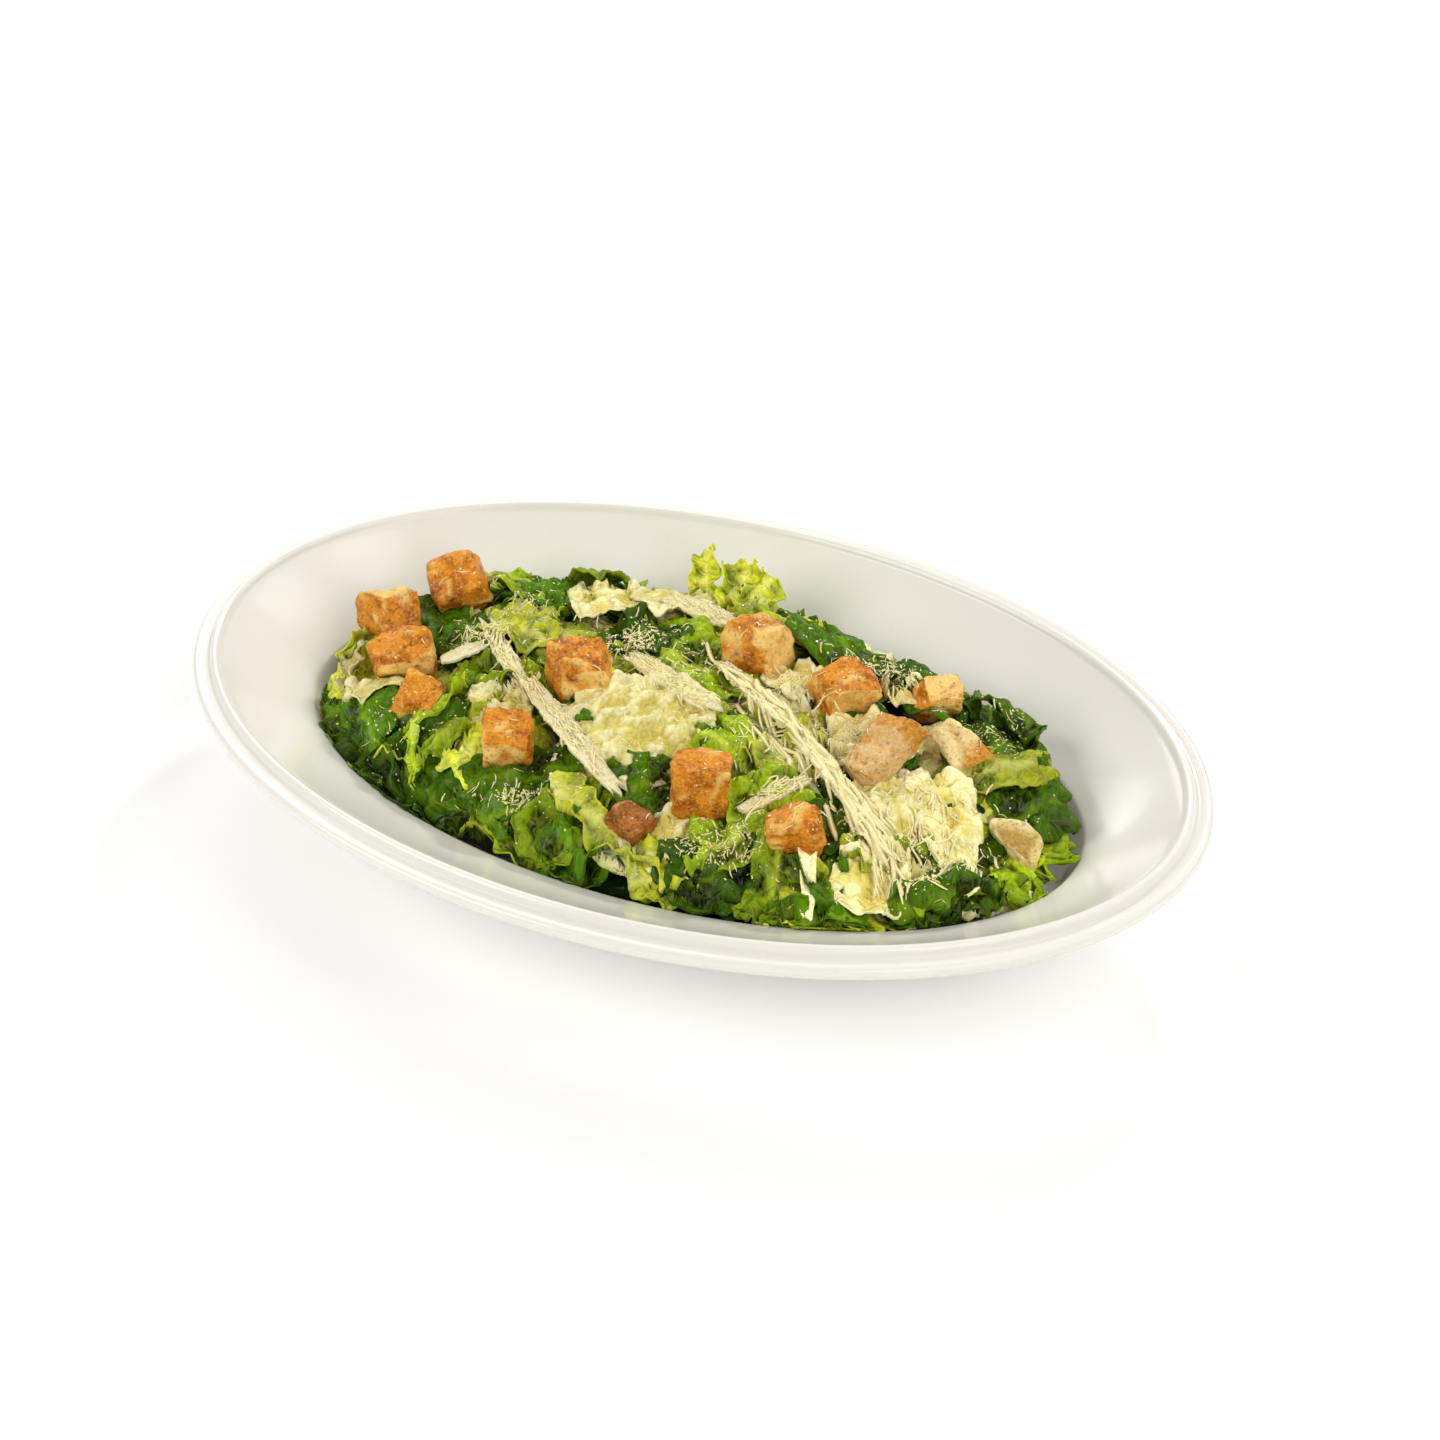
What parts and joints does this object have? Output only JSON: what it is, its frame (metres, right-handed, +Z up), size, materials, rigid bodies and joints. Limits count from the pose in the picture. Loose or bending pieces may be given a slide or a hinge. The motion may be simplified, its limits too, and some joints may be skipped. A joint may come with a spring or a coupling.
{
  "type": "caesar salad",
  "caption": "Caesar salad of chopped romaine with toasted croutons, shaved Parmesan and creamy dressing in an oval rimmed porcelain bowl.",
  "frame": {"origin": "middle of the underside of the bowl's foot ring, on the table", "axes": "+X along the bowl's length, +Y across it towards the side where the salad stands highest, +Z up"},
  "size_m": [0.32, 0.2074, 0.0621],
  "materials": {
    "porcelain": "glossy warm white glaze",
    "lettuce": "moist lettuce leaves, dark to pale green, wet with dressing",
    "toast": "browned toasted bread crust, rough with glossy oiled patches",
    "crumb": "pale toasted bread crumb",
    "parmesan": "cream hard cheese, satin",
    "dressing": "creamy dressing, glossy"
  },
  "bodies": {
    "root": {"bowl": "porcelain", "lettuce_heap": "lettuce", "crouton_1": "toast", "crouton_2": "toast", "crouton_3": "toast", "crouton_4": "toast", "crouton_5": "toast", "crouton_6": "toast", "crouton_7": "toast", "crouton_8": "toast", "crouton_9": "toast", "crouton_10": "toast", "crouton_11": "toast", "crouton_12": "toast", "bread_slab": "crumb", "bread_curl": "crumb", "bread_heel": "crumb", "parmesan_shaving_1": "parmesan", "parmesan_shaving_2": "parmesan", "parmesan_shaving_3": "parmesan", "parmesan_shaving_4": "parmesan", "parmesan_shaving_5": "parmesan", "parmesan_shaving_6": "parmesan", "parmesan_shaving_7": "parmesan", "parmesan_shaving_8": "parmesan"}
  },
  "joints": []
}
